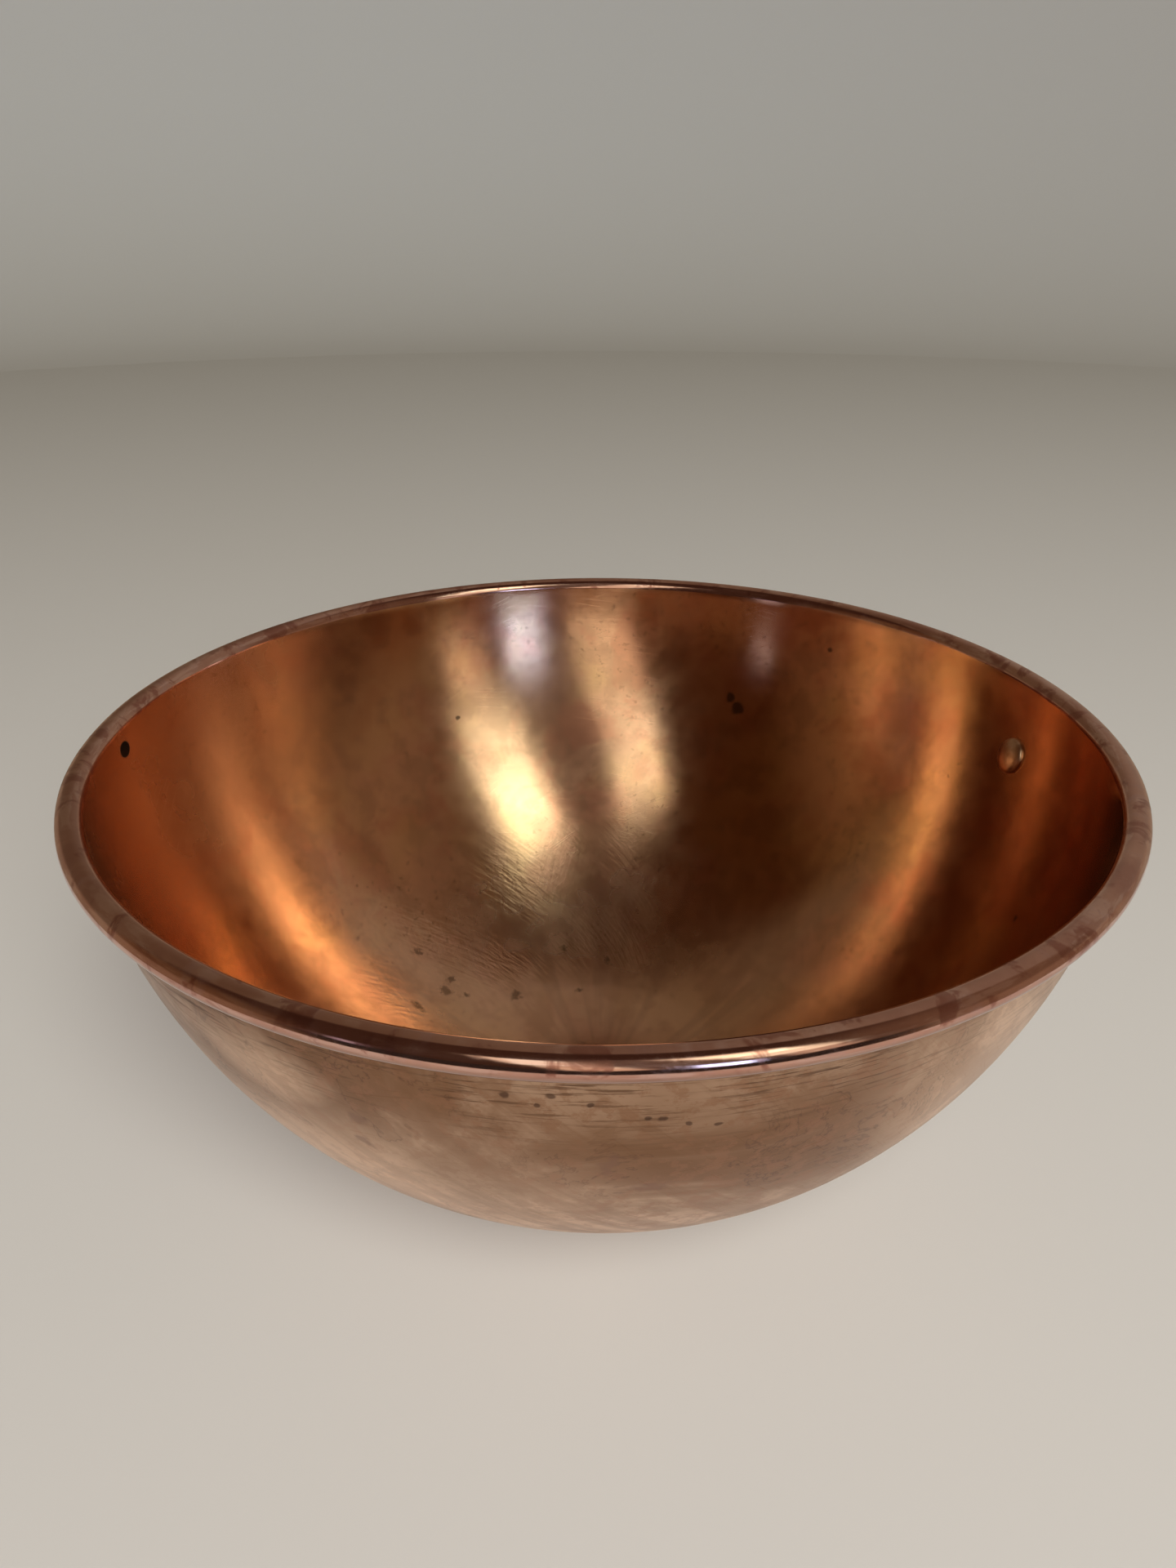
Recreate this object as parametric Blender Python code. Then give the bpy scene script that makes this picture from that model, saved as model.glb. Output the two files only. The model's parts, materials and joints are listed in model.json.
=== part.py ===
"""Spun copper beating bowl with a rolled, wired rim and a brass hanging ring.

Axes: +Z up along the bowl's axis, origin at the middle of the flat foot, +X towards
the hanging ring. All lengths are in metres.
"""
import math

import bmesh
import bpy
from mathutils import Matrix, Vector

# ---------------------------------------------------------------- bowl sheet
SHEET_T = 0.0012          # copper sheet
WALL_A = 0.1254           # mid-sheet ellipse, horizontal half axis
WALL_B = 0.1357           # mid-sheet ellipse, vertical half axis
FOOT_R = 0.0280           # radius of the flattened foot
FOOT_BLEND = 0.0040       # half length of the soft edge round the foot
RIM_T = math.radians(82.8)  # ellipse angle where the sheet turns into the bead

# ---------------------------------------------------------------- rolled rim
WIRE_R = 0.00155          # stiffening wire
ROLL_R = 0.0025           # mid-sheet radius of the roll
ROLL_SWEEP = math.radians(302.0)

# ---------------------------------------------------------------- ring strap
STRAP_T = 0.0012
STRAP_HALF_W = 0.0045
STRAP_WALL_GAP = 0.0004   # back leg to the bowl
STRAP_LEG_GAP = 0.0003    # between the two legs
EYE_R = 0.0036            # mid-strip radius of the eye
EYE_DROP = 0.0078         # eye centre below the top of the wall, along the wall
STRAP_LEN = 0.0180        # eye centre to the rounded end of the legs

# --------------------------------------------------------------------- rivet
RIVET_DROP = 0.0120       # rivet below the eye centre, along the wall
RIVET_SHANK_R = 0.0022
RIVET_HOLE_R = 0.00255
RIVET_HEAD_R = 0.0052     # domed head inside the bowl
RIVET_HEAD_H = 0.0021
RIVET_TAIL_R = 0.0038     # peened tail on the strap
RIVET_TAIL_H = 0.0016
RIVET_GAP = 0.0004        # tail to strap
HEAD_GAP = 0.0006         # head to bowl, at the shank
HEAD_DISH = 0.0003        # head's edge dished to follow the bowl

# -------------------------------------------------------------- hanging ring
RING_R = 0.0190           # middle of the ring wire
RING_WIRE_R = 0.0020

TURN = 64                 # facets round the bowl

FOOT_Z = SHEET_T / 2.0
WALL_ZC = FOOT_Z + WALL_B * math.sqrt(1.0 - (FOOT_R / WALL_A) ** 2)


def material(name, colour, roughness, metallic=1.0):
    """One Principled material with plain values."""
    mat = bpy.data.materials.new(name)
    mat.use_nodes = True
    shader = mat.node_tree.nodes["Principled BSDF"]
    shader.inputs["Base Color"].default_value = (*colour, 1.0)
    shader.inputs["Roughness"].default_value = roughness
    shader.inputs["Metallic"].default_value = metallic
    mat.diffuse_color = (*colour, 1.0)
    return mat


def add_object(name, bm, mat, sharp=35.0):
    """Turn a bmesh into a named, smooth-shaded object."""
    bmesh.ops.remove_doubles(bm, verts=bm.verts, dist=1e-6)
    bmesh.ops.recalc_face_normals(bm, faces=bm.faces)
    mesh = bpy.data.meshes.new(name)
    bm.to_mesh(mesh)
    bm.free()
    mesh.materials.append(mat)
    mesh.shade_smooth()
    mesh.set_sharp_from_angle(angle=math.radians(sharp))
    obj = bpy.data.objects.new(name, mesh)
    bpy.context.scene.collection.objects.link(obj)
    return obj


def lathe(profile, segments):
    """Revolve a closed (r, z) profile about Z. Points at r = 0 become poles."""
    bm = bmesh.new()
    columns = []
    for k in range(segments):
        a = 2.0 * math.pi * k / segments
        columns.append([(r * math.cos(a), r * math.sin(a), z) for r, z in profile])
    poles = {i: bm.verts.new((0.0, 0.0, z)) for i, (r, z) in enumerate(profile) if r < 1e-9}
    rows = [[poles.get(i) or bm.verts.new(p) for i, p in enumerate(col)] for col in columns]
    count = len(profile)
    for k in range(segments):
        here, there = rows[k], rows[(k + 1) % segments]
        for i in range(count):
            j = (i + 1) % count
            face = []
            for v in (here[i], here[j], there[j], there[i]):
                if v not in face:
                    face.append(v)
            if len(face) > 2:
                bm.faces.new(face)
    return bm


def wall_point(t):
    """Mid-sheet wall point, outward normal and unit tangent (up the wall) at angle t."""
    point = Vector((WALL_A * math.sin(t), WALL_ZC - WALL_B * math.cos(t)))
    along = Vector((WALL_A * math.cos(t), WALL_B * math.sin(t)))
    speed = along.length
    along = along / speed
    return point, Vector((along.y, -along.x)), along, speed


def wall_line():
    """Mid-sheet line (r, z) from the axis out to the lip of the rolled rim."""
    line = [Vector((0.0, FOOT_Z)), Vector((FOOT_R - FOOT_BLEND, FOOT_Z))]
    corner = Vector((FOOT_R, FOOT_Z))
    t0 = math.asin((FOOT_R + FOOT_BLEND) / WALL_A)
    end = wall_point(t0)[0]
    start = line[-1]
    for f in (1 / 3, 2 / 3):
        line.append(start * (1 - f) ** 2 + corner * 2 * f * (1 - f) + end * f * f)
    steps = 13
    for k in range(steps + 1):
        line.append(wall_point(t0 + (RIM_T - t0) * k / steps)[0])
    # the roll: outwards over the wire and back under it
    point, normal, along, _ = wall_point(RIM_T)
    centre = point + normal * ROLL_R
    steps = 14
    for k in range(1, steps + 1):
        a = ROLL_SWEEP * k / steps
        line.append(centre - normal * ROLL_R * math.cos(a) + along * ROLL_R * math.sin(a))
    return line, centre


def thicken(line, thickness):
    """Closed profile of an open line given a thickness; the line starts on the axis."""
    half = thickness / 2.0
    left, right = [], []
    last = len(line) - 1
    for i, p in enumerate(line):
        before = (p - line[i - 1]).normalized() if i else None
        after = (line[i + 1] - p).normalized() if i < last else None
        direction = ((before or after) + (after or before)).normalized()
        cos_half = direction.dot(before or after)
        normal = Vector((direction.y, -direction.x)) * (half / cos_half)
        left.append(p - normal)
        right.append(p + normal)
    left[0].x = right[0].x = 0.0
    return [(p.x, p.y) for p in left] + [(p.x, p.y) for p in reversed(right)]


def strap_spot(offset, up):
    """Wall-hugging point: offset outwards from the mid sheet, up along the wall."""
    top_speed = wall_point(RIM_T)[3]
    t_eye = RIM_T - EYE_DROP / top_speed
    speed = wall_point(t_eye)[3]
    point, normal, along, _ = wall_point(t_eye + up / speed)
    return point + normal * offset, normal, along


def build_shell(mat):
    """Copper sheet spun into the bowl and rolled outwards at the rim."""
    line, centre = wall_line()
    shell = add_object("bowl_shell", lathe(thicken(line, SHEET_T), TURN), mat)
    return shell, centre


def build_wire(centre, mat):
    """Iron wire ring lying inside the rolled rim."""
    sides = 10
    loop = [(centre.x + WIRE_R * math.cos(2 * math.pi * k / sides),
             centre.y + WIRE_R * math.sin(2 * math.pi * k / sides)) for k in range(sides)]
    return add_object("rim_wire", lathe(loop, TURN), mat, sharp=60.0)


def strap_path():
    """Mid-strip path (offset, up): back leg, eye, return leg; ends at the rounded tips."""
    back = SHEET_T / 2 + STRAP_WALL_GAP + STRAP_T / 2
    front = back + STRAP_T + STRAP_LEG_GAP
    eye = back + EYE_R
    tip = -STRAP_LEN
    tip_steps = (0.0, 0.0005, 0.0018, STRAP_HALF_W, 0.0085, 0.0130)
    path = [(back, tip + d) for d in tip_steps]
    leave = math.radians(-52.0)
    steps = 15
    for k in range(steps + 1):
        a = math.pi + (leave - math.pi) * k / steps
        path.append((eye + EYE_R * math.cos(a), EYE_R * math.sin(a)))
    # straight run in towards the wall, then a bend down into the return leg
    heading = Vector((math.sin(leave), -math.cos(leave)))
    start = Vector(path[-1])
    bend_r = 0.0020
    turn = math.acos(-heading.y)
    run = (start.x - front - bend_r * (1 - math.cos(turn))) / -heading.x
    bend_from = start + heading * run
    pivot = bend_from + Vector((-heading.y, heading.x)) * bend_r
    arm = bend_from - pivot
    steps = 4
    for k in range(steps + 1):
        a = turn * k / steps
        path.append((pivot.x + arm.x * math.cos(a) - arm.y * math.sin(a),
                     pivot.y + arm.x * math.sin(a) + arm.y * math.cos(a)))
    path += [(front, tip + d) for d in reversed(tip_steps[:-1])]
    return path, eye


def build_strap(mat):
    """Copper strip folded round the hanging ring, both legs flat on the wall."""
    path, eye = strap_path()
    spots = [strap_spot(o, u)[0] for o, u in path]
    bm = bmesh.new()
    rows = []
    last = len(spots) - 1
    for i, p in enumerate(spots):
        before = spots[max(i - 1, 0)]
        after = spots[min(i + 1, last)]
        direction = (after - before).normalized()
        normal = Vector((direction.y, -direction.x)) * (STRAP_T / 2)
        above_tip = path[i][1] + STRAP_LEN
        if above_tip < STRAP_HALF_W:
            half = math.sqrt(STRAP_HALF_W ** 2 - (STRAP_HALF_W - above_tip) ** 2)
            half = max(half, 0.0008)
        else:
            half = STRAP_HALF_W
        row = []
        for side, y in ((-1, -half), (-1, half), (1, half), (1, -half)):
            q = p + normal * side
            row.append(bm.verts.new((q.x, y, q.y)))
        rows.append(row)
    for a, b in zip(rows, rows[1:]):
        for i in range(4):
            j = (i + 1) % 4
            bm.faces.new((a[i], a[j], b[j], b[i]))
    bm.faces.new(rows[0])
    bm.faces.new(list(reversed(rows[-1])))
    hinge = strap_spot(eye, 0.0)[0]
    return add_object("ring_strap", bm, mat), Vector((hinge.x, 0.0, hinge.y))


def rivet_frame():
    """Matrix whose +Z is the outward wall normal at the rivet, origin on the mid sheet."""
    point, normal, along = strap_spot(0.0, -RIVET_DROP)
    out = Vector((normal.x, 0.0, normal.y))
    side = Vector((0.0, 1.0, 0.0))
    up = out.cross(side)
    frame = Matrix((side, up, out)).transposed()
    if frame.determinant() < 0.0:
        frame = Matrix((side, -up, out)).transposed()
    return Matrix.Translation((point.x, 0.0, point.y)) @ frame.to_4x4()


def build_rivet(mat):
    """Copper rivet: domed head inside, shank through wall and strap, peened tail."""
    head_z = -(SHEET_T / 2 + HEAD_GAP)
    edge_z = head_z - HEAD_DISH
    tail_z = (SHEET_T / 2 + STRAP_WALL_GAP + 2 * STRAP_T + STRAP_LEG_GAP + RIVET_GAP)
    profile = []
    steps = 6
    for k in range(steps + 1):
        a = math.pi / 2 * k / steps
        profile.append((RIVET_HEAD_R * math.sin(a), edge_z - 0.0002
                        - (RIVET_HEAD_H - 0.0005) * math.cos(a)))
    profile += [(RIVET_HEAD_R - 0.0002, edge_z), (RIVET_SHANK_R, head_z),
                (RIVET_SHANK_R, tail_z), (RIVET_TAIL_R - 0.0003, tail_z)]
    for k in range(steps):
        a = math.pi / 2 * k / steps
        profile.append((RIVET_TAIL_R * math.cos(a), tail_z + 0.0004
                        + (RIVET_TAIL_H - 0.0004) * math.sin(a)))
    profile.append((0.0, tail_z + RIVET_TAIL_H))
    rivet = add_object("strap_rivet", lathe(profile, 28), mat)
    rivet.matrix_world = rivet_frame()
    return rivet


def drill(targets, depth=0.012):
    """Cut the rivet hole straight through each target."""
    sides = 20
    loop = [(0.0, -depth), (RIVET_HOLE_R, -depth), (RIVET_HOLE_R, depth), (0.0, depth)]
    bm = lathe(loop, sides)
    cutter = add_object("rivet_hole_cutter", bm, bpy.data.materials["copper_rivet"])
    cutter.matrix_world = rivet_frame()
    cutter.hide_render = True
    cutter.display_type = "WIRE"
    for target in targets:
        cut = target.modifiers.new("rivet_hole", "BOOLEAN")
        cut.operation = "DIFFERENCE"
        cut.solver = "EXACT"
        cut.object = cutter


def build_ring(hinge, mat):
    """Brass ring; its origin lies on the hinge line through the strap's eye."""
    sides, steps = 10, 40
    bm = bmesh.new()
    rows = []
    for k in range(steps):
        a = 2 * math.pi * k / steps
        row = []
        for s in range(sides):
            b = 2 * math.pi * s / sides
            r = RING_R + RING_WIRE_R * math.cos(b)
            row.append(bm.verts.new((RING_WIRE_R * math.sin(b), r * math.sin(a),
                                     r * math.cos(a) - RING_R)))
        rows.append(row)
    for k in range(steps):
        a, b = rows[k], rows[(k + 1) % steps]
        for s in range(sides):
            t = (s + 1) % sides
            bm.faces.new((a[s], a[t], b[t], b[s]))
    ring = add_object("hanging_ring", bm, mat, sharp=60.0)
    ring.location = hinge
    return ring


def build():
    for obj in list(bpy.data.objects):
        bpy.data.objects.remove(obj, do_unlink=True)
    copper = material("copper_sheet", (0.86, 0.44, 0.29), 0.26)
    strap_copper = material("copper_strap", (0.78, 0.40, 0.27), 0.34)
    rivet_copper = material("copper_rivet", (0.83, 0.42, 0.26), 0.30)
    iron = material("iron_wire", (0.33, 0.31, 0.30), 0.55)
    brass = material("ring_brass", (0.80, 0.62, 0.30), 0.28)

    shell, bead_centre = build_shell(copper)
    build_wire(bead_centre, iron)
    strap, hinge = build_strap(strap_copper)
    build_rivet(rivet_copper)
    drill([shell, strap])
    build_ring(hinge, brass)


build()
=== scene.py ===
"""Looks of the spun copper beating bowl: finer meshes, procedural metals, floor, light, camera.

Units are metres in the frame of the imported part: +Z up along the bowl's axis, origin at the
middle of the foot, +X towards the hanging ring. Noise scales are in features per metre, except
where the coordinates are already stretched.
"""

import json
import math
from collections import namedtuple

import bmesh
import bpy
from mathutils import Matrix, Vector, noise


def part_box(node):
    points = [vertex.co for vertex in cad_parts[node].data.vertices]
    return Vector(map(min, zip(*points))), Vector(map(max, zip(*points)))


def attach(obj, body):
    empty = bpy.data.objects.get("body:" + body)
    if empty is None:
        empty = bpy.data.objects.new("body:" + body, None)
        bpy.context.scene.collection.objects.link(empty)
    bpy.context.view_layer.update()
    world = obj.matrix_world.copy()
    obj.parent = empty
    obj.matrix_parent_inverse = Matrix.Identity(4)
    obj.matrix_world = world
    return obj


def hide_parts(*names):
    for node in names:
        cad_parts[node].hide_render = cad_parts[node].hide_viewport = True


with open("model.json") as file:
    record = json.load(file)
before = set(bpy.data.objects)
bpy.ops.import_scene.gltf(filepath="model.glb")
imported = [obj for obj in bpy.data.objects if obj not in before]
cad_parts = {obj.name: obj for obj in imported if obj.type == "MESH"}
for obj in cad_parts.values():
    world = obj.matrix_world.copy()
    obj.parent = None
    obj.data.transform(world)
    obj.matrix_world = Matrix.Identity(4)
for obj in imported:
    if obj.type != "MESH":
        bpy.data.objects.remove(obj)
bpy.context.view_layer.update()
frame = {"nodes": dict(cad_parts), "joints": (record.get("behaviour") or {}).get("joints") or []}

# ---------------------------------------------------------------- bowl sizes, as in the part
SHEET_T = 0.0012
WALL_A = 0.1254            # mid-sheet ellipse, horizontal half axis
WALL_B = 0.1357            # mid-sheet ellipse, vertical half axis
FOOT_R = 0.0280
RIM_T = math.radians(82.8)  # ellipse angle where the sheet turns into the bead
ROLL_R = 0.0025            # mid-sheet radius of the rolled bead
ROLL_SWEEP = math.radians(302.0)
STRAP_T = 0.0012
STRAP_HALF_W = 0.0045
STRAP_WALL_GAP = 0.0004    # back leg to the bowl
STRAP_LEG_GAP = 0.0003     # between the two legs
EYE_R = 0.0036             # mid-strip radius of the strap's eye
EYE_DROP = 0.0078          # eye centre below the top of the wall, along the wall
STRAP_LEN = 0.0180         # eye centre to the rounded end of the legs
RIVET_DROP = 0.0120        # rivet below the eye centre, along the wall
RIVET_SHANK_R = 0.0022
RIVET_HEAD_R = 0.0052      # domed head inside the bowl
RIVET_HEAD_H = 0.0021
RIVET_TAIL_R = 0.0038      # hammered tail on the strap
RIVET_TAIL_H = 0.0016
RING_R = 0.0190            # middle of the ring wire
RING_WIRE_R = 0.0020

FOOT_Z = SHEET_T / 2.0
WALL_ZC = FOOT_Z + WALL_B * math.sqrt(1.0 - (FOOT_R / WALL_A) ** 2)
RIM_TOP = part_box("bowl_shell")[1].z
RIM_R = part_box("bowl_shell")[1].x

# ---------------------------------------------------------------- shapes of this script's own
FOOT_BLEND = 0.0140        # half length of the edge round the foot, softer than in the part
LIP_ROUND = 0.8            # the worn lip reaches this share of half the sheet's thickness
STRAP_CORNER = 0.00028     # radius of the strap's softened edges
STRAP_TIP_MIN = 0.0009     # half width that the strap's rounded tip starts from
STRAP_LEG = 0.0130         # length of the straight leg from its tip
STRAP_BEND_R = 0.0020      # bend from the eye into the outer leg
STRAP_MIN_STEP = 0.0003    # least distance from the bend to the next point of the outer leg
STRAP_LEAVE = math.radians(-52.0)   # where the strip leaves the round of the eye
RIVET_LAP = 0.00005        # head and tail stand off the sheet and the strap by this
RIVET_HEAD_EDGE = 0.0001   # half thickness of the head's rim
RIVET_HEAD_BEVEL = 0.00025
RIVET_TAIL_EDGE = 0.0003   # upright edge of the tail
RIVET_TAIL_BEVEL = 0.0002
DOME_OUT = 0.92            # powers that fill out the dome of the head, sideways and upwards
DOME_UP = 0.9
RING_GROOVE = 0.05         # depth of the ring's butt joint, as a share of the wire
RING_GROOVE_W = 0.0005
RING_WIRE_SHARE = 0.99     # the visual wire is this share of the part's, to leave room for wear

# unevenness of the surfaces: depth, reach of one bulge, place in the noise
WALL_UNEVEN = [(0.00008, 0.045, 5.0), (0.00001, 0.014, 9.0)]
BEAD_UNEVEN = [(0.00006, 0.016, 3.0)]
UNEVEN_FROM = 0.012        # the wall is fully uneven from this height up; the foot is flat
STRAP_WEAR = (0.00003, 0.003, 1.0)
RIVET_HEAD_WEAR = (0.00001, 0.0022, 4.0)
RIVET_TAIL_DENTS = (0.00010, 0.0022, 4.0)
RIVET_UNROUND = (0.012, 0.9, 7.0)   # as shares of the radius
RING_WEAR = (0.00004, 0.006, 2.0)

# ---------------------------------------------------------------- fineness of the meshes
BOWL_TURN = 224
WALL_STEPS = 84
FOOT_STEPS = 6
BLEND_STEPS = 16
ROLL_STEPS = 40
LIP_STEPS = 6
RIVET_TURN = 64
RIVET_STEPS = 16
RING_TURN = 160
RING_SIDES = 28
STAGE_TURN = 96

# ---------------------------------------------------------------- copper tones
INSIDE_CLEAN = (0.94, 0.53, 0.33)
OUTSIDE_CLEAN = (0.93, 0.645, 0.46)
BEAD_CLEAN = (0.67, 0.37, 0.275)
INSIDE_ROUGH = 0.155
OUTSIDE_ROUGH = 0.34
BEAD_ROUGH = 0.09

# ---------------------------------------------------------------- painted marks on the wall
MARK_DEPTH = 0.012         # reach of a mark into and out of the wall
# each mark: azimuth from the ring's side in degrees, height above the foot, half width, half height
# a small, very dark oval near the rim, inside
DARK_OVAL_MARK = (166.2, 0.1114, 0.0029, 0.0020)
INSIDE_STAINS = [(53.1, 0.0818, 0.0015, 0.0017), (51.6, 0.0788, 0.0023, 0.0020),
                 (102.4, 0.0759, 0.0009, 0.0007), (37.6, 0.1035, 0.0010, 0.0008),
                 (-20.5, 0.0688, 0.0008, 0.0007)]
BASE_SPECKS = [(147.0, 0.0138, 0.0011, 0.0022), (135.0, 0.0125, 0.0015, 0.0018),
               (130.5, 0.0133, 0.0018, 0.0008), (113.5, 0.0063, 0.0019, 0.0013),
               (86.0, 0.0048, 0.0009, 0.0009), (132.5, 0.0208, 0.0012, 0.0013),
               (89.0, 0.0116, 0.0009, 0.0008), (73.7, 0.0091, 0.0010, 0.0010),
               (157.6, 0.0136, 0.0008, 0.0010), (130.4, 0.0098, 0.0009, 0.0008)]
OUTSIDE_STAINS = [(-111.3, 0.1052, 0.0008, 0.0008), (-107.6, 0.1056, 0.0010, 0.0007),
                  (-108.8, 0.1030, 0.0006, 0.0006), (-104.5, 0.1036, 0.0007, 0.0006),
                  (-100.0, 0.0998, 0.0007, 0.0006), (-98.7, 0.0994, 0.0010, 0.0007),
                  (-96.6, 0.0977, 0.0007, 0.0005), (-94.0, 0.0965, 0.0006, 0.0005)]
TIDE_MARKS = [(-125.5, 0.0885, 0.0018, 0.0020), (-126.0, 0.0805, 0.0020, 0.0018),
              (-102.9, 0.0850, 0.0016, 0.0040), (-99.2, 0.0760, 0.0040, 0.0018)]
# where the outside is brighter, partly cleaner copper and partly painted highlight where it mirrors the
# lit floor, and where it is darker
CLEAN_AND_HIGHLIT_OUTSIDE = [(-128.0, 0.064, 0.034, 0.026), (-62.0, 0.088, 0.026, 0.030),
                (-136.0, 0.094, 0.012, 0.008)]
DARKER_OUTSIDE = [(-103.0, 0.098, 0.030, 0.013), (-116.0, 0.074, 0.010, 0.020),
                  (-168.0, 0.098, 0.022, 0.013)]

# ---------------------------------------------------------------- stage, light and camera
NEAR_FLOOR_R = 0.355       # the part of the floor that the copper mirrors
FLOOR_R = 1.8              # flat floor; beyond it a cove rises all round
COVE_R = 0.8
COVE_TOP = 4.0
COVE_STEPS = 16
FLOOR_DROP = 0.0002        # the floor lies this far under the foot
FLOOR_COLOUR = (0.62, 0.60, 0.575)

VIEW_TURN = math.radians(-13.1)   # the viewer stands this far round from facing +Y
# soft boxes: azimuth and elevation as in toward(), width, height, colour, lean, width of the edge
SOFT_BOXES = [(-78, 34, 36, 56, (0.15, 0.12, 0.10), 0, 12),
              (-52, 15, 11, 26, (0.72, 0.64, 0.52), 8, 6),
              (-57, 40, 17, 38, (1.5, 1.68, 1.42), 8, 6),
              (-59, 46, 13, 16, (3.0, 3.3, 2.7), 8, 5),
              (-92, 11, 15, 24, (1.05, 1.0, 0.8), 19, 5),
              (-103, 36, 14, 28, (1.35, 1.4, 1.2), 19, 5),
              (-69, 4, 9, 16, (2.6, 3.8, 6.4), 0, 2),
              (-136, 3, 5.0, 11, (0.55, 0.54, 0.74), 0, 2.5)]
FLOOR_LIGHT_FROM = (-80, 38)      # azimuth and elevation
FLOOR_LIGHT_AWAY = 2.0
FLOOR_LIGHT_WIDE = 1.4
FLOOR_LIGHT_POWER = 47.0

CAMERA_LENS = 27.06
CAMERA_ELEVATION = math.radians(26.79)
CAMERA_ROLL = math.radians(-0.17)
RIM_FROM_EYE = (0.025, -0.116, 2.313)   # rim's centre right, down and ahead of the eye, in rim radii


# =================================================================== meshes
def wall_point(t):
    """Mid-sheet point, outward normal, unit tangent up the wall and its speed at angle t."""
    point = Vector((WALL_A * math.sin(t), WALL_ZC - WALL_B * math.cos(t)))
    along = Vector((WALL_A * math.cos(t), WALL_B * math.sin(t)))
    speed = along.length
    along = along / speed
    return point, Vector((along.y, -along.x)), along, speed


def wall_radius(z):
    """Radius of the wall's middle at a height above the foot."""
    return WALL_A * math.sqrt(max(0.0, 1.0 - ((WALL_ZC - z) / WALL_B) ** 2))


def wall_climb(z):
    """Unit (r, z) direction up the wall at a height above the foot."""
    return wall_point(math.acos(max(-1.0, min(1.0, (WALL_ZC - z) / WALL_B))))[2]


def wall_line():
    """Mid-sheet line (r, z) from the axis to the lip of the rolled rim, with its parts' names."""
    flat_r = FOOT_R - FOOT_BLEND
    line = [(Vector((flat_r * k / FOOT_STEPS, FOOT_Z)), "wall") for k in range(FOOT_STEPS + 1)]
    start = line[-1][0]
    corner = Vector((FOOT_R, FOOT_Z))
    t0 = math.asin((FOOT_R + FOOT_BLEND) / WALL_A)
    end = wall_point(t0)[0]
    for k in range(1, BLEND_STEPS):
        f = k / BLEND_STEPS
        line.append((start * (1 - f) ** 2 + corner * 2 * f * (1 - f) + end * f * f, "wall"))
    for k in range(WALL_STEPS + 1):
        line.append((wall_point(t0 + (RIM_T - t0) * k / WALL_STEPS)[0], "wall"))
    point, normal, along, _ = wall_point(RIM_T)
    centre = point + normal * ROLL_R
    for k in range(1, ROLL_STEPS + 1):
        a = ROLL_SWEEP * k / ROLL_STEPS
        line.append((centre - normal * ROLL_R * math.cos(a) + along * ROLL_R * math.sin(a), "roll"))
    return line


def sheet_profile():
    """Closed outline of the sheet's section: point and side; inner skin, worn lip, then the back."""
    line = wall_line()
    half = SHEET_T / 2.0
    inner, outer = [], []
    last = len(line) - 1
    for i, (p, part) in enumerate(line):
        before = (p - line[i - 1][0]).normalized() if i else None
        after = (line[i + 1][0] - p).normalized() if i < last else None
        direction = ((before or after) + (after or before)).normalized()
        normal = Vector((direction.y, -direction.x)) * half
        inner.append((p - normal, "inside" if part == "wall" else "bead"))
        outer.append((p + normal, "outside" if part == "wall" else "cavity"))
    inner[0][0].x = outer[0][0].x = 0.0
    tip = line[-1][0]
    ahead = (tip - line[-2][0]).normalized()
    side = Vector((ahead.y, -ahead.x))
    lip = []
    for k in range(1, LIP_STEPS):
        a = math.pi * k / LIP_STEPS
        reach = ahead * half * LIP_ROUND * math.sin(a)
        lip.append((tip + reach - side * half * math.cos(a), "bead"))
    return inner + lip + list(reversed(outer))


def waver(x, y, z, uneven):
    """Smooth noise between about -depth and depth; uneven is (depth, reach, seed)."""
    depth, reach, seed = uneven
    return depth * noise.noise(Vector((x / reach + seed, y / reach - seed, z / reach + 2 * seed)))


def make_object(name, bm, materials):
    """Smooth-shaded object from a bmesh, linked to the scene."""
    mesh = bpy.data.meshes.new(name)
    bmesh.ops.recalc_face_normals(bm, faces=bm.faces)
    bm.to_mesh(mesh)
    bm.free()
    for mat in materials:
        mesh.materials.append(mat)
    mesh.shade_smooth()
    obj = bpy.data.objects.new(name, mesh)
    bpy.context.scene.collection.objects.link(obj)
    return obj


def bridge(bm, here, there, closed=True):
    """Faces between two rows of vertices, each with its place (i, j); a shared pole is used once."""
    made = []
    count = len(here)
    for i in range(count if closed else count - 1):
        j = (i + 1) % count
        corners = []
        for v in (here[i], here[j], there[j], there[i]):
            if v not in corners:
                corners.append(v)
        if len(corners) > 2:
            made.append((i, j, bm.faces.new(corners)))
    return made


def bowl_push(part, x, y, z):
    """How far the sheet bulges outwards here: a spun bowl is very slightly uneven."""
    layers = BEAD_UNEVEN if part in ("bead", "cavity") else WALL_UNEVEN
    push = sum(waver(x, y, z, uneven) for uneven in layers)
    return push * min(1.0, z / UNEVEN_FROM)


def build_bowl(mats):
    """The spun sheet with its rolled rim; mats are for the inside, the outside and the bead."""
    profile = sheet_profile()
    slots = {"inside": 0, "outside": 1, "bead": 2, "cavity": 2}
    bm = bmesh.new()
    poles = {i: bm.verts.new((0, 0, p.y)) for i, (p, _) in enumerate(profile) if p.x < 1e-9}
    rows = []
    for k in range(BOWL_TURN):
        a = 2 * math.pi * k / BOWL_TURN
        c, s = math.cos(a), math.sin(a)
        row = []
        for i, (p, part) in enumerate(profile):
            if i in poles:
                row.append(poles[i])
                continue
            x, y, z = p.x * c, p.x * s, p.y
            push = bowl_push(part, x, y, z)
            row.append(bm.verts.new((x + push * c, y + push * s, z)))
        rows.append(row)
    for k in range(BOWL_TURN):
        for i, j, face in bridge(bm, rows[k], rows[(k + 1) % BOWL_TURN]):
            same = profile[i][1] == profile[j][1]
            face.material_index = slots[profile[i][1] if same else "bead"]
    return make_object("bowl_sheet", bm, mats)


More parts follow.
